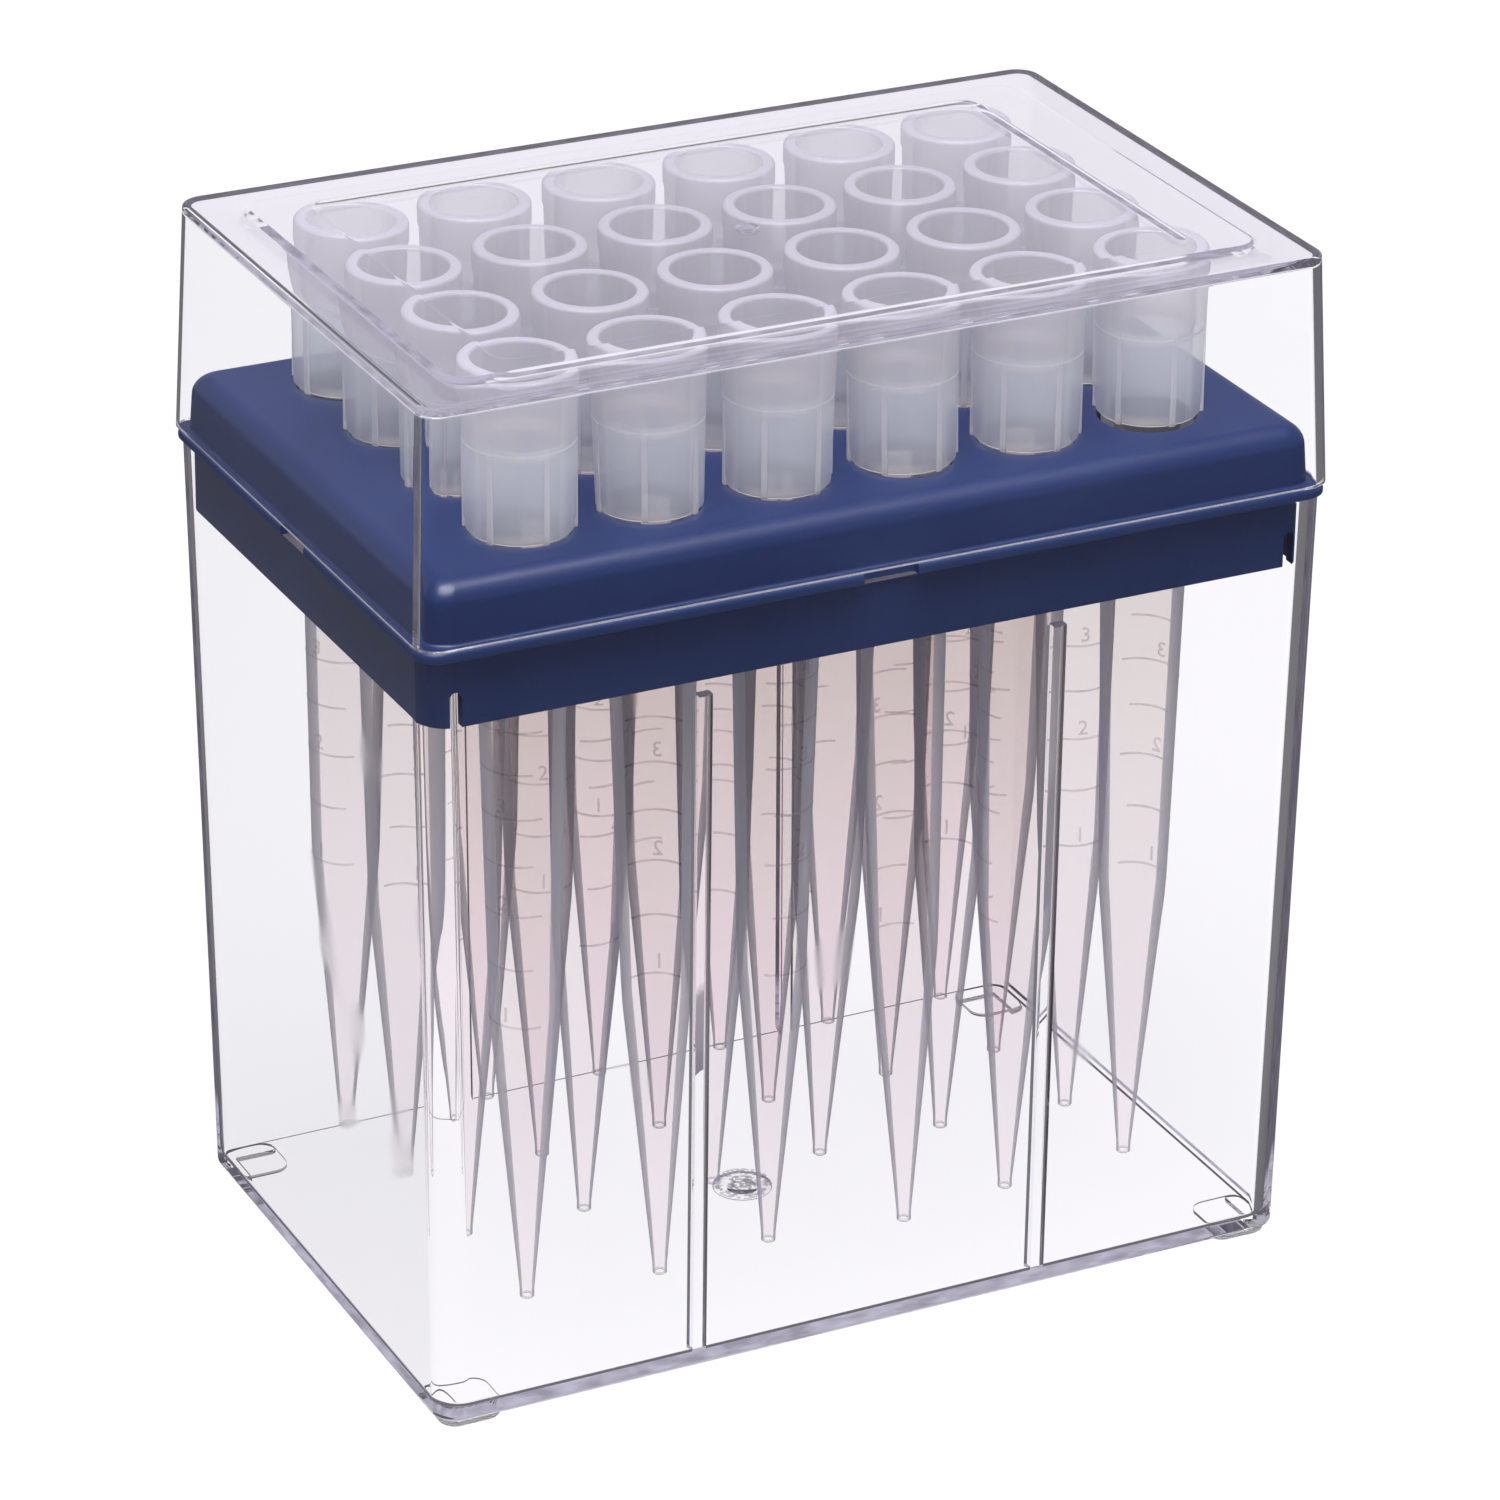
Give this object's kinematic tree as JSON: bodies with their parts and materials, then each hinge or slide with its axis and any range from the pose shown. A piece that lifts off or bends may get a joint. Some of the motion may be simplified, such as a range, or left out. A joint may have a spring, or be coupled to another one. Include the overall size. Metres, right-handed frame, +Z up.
{
  "type": "pipette tip box",
  "caption": "Clear lidded box in which large pipette tips hang by their collars from a drilled rack insert; the lid lifts off the rack and the rack lifts out of the tub.",
  "frame": {"origin": "middle of the footprint, on the surface that the feet stand on", "axes": "+Z up, +X along the rows of tips, the long way of the box, +Y from the front wall to the back wall"},
  "size_m": [0.1302, 0.0854, 0.1452],
  "materials": {
    "clear_plastic": "clear glossy moulded polystyrene with a faint violet cast in its edges",
    "navy_plastic": "navy satin moulded plastic",
    "tip_plastic": "milky translucent polypropylene, satin"
  },
  "bodies": {
    "tub": {"base_box": "clear_plastic"},
    "rack": {"tip_rack": "navy_plastic", "tip_r1_c1": "tip_plastic", "tip_r1_c2": "tip_plastic", "tip_r1_c3": "tip_plastic", "tip_r1_c4": "tip_plastic", "tip_r1_c5": "tip_plastic", "tip_r1_c6": "tip_plastic", "tip_r2_c1": "tip_plastic", "tip_r2_c2": "tip_plastic", "tip_r2_c3": "tip_plastic", "tip_r2_c4": "tip_plastic", "tip_r2_c5": "tip_plastic", "tip_r2_c6": "tip_plastic", "tip_r3_c1": "tip_plastic", "tip_r3_c2": "tip_plastic", "tip_r3_c3": "tip_plastic", "tip_r3_c4": "tip_plastic", "tip_r3_c5": "tip_plastic", "tip_r3_c6": "tip_plastic", "tip_r4_c1": "tip_plastic", "tip_r4_c2": "tip_plastic", "tip_r4_c3": "tip_plastic", "tip_r4_c4": "tip_plastic", "tip_r4_c5": "tip_plastic", "tip_r4_c6": "tip_plastic"},
    "lid": {"lid": "clear_plastic"}
  },
  "joints": [
    {"name": "rack_lift", "type": "slide", "parent": "tub", "child": "rack", "axis": [0, 0, 1], "range_m": [0, 0.11]},
    {"name": "lid_lift", "type": "slide", "parent": "rack", "child": "lid", "axis": [0, 0, 1], "range_m": [0, 0.04]}
  ]
}
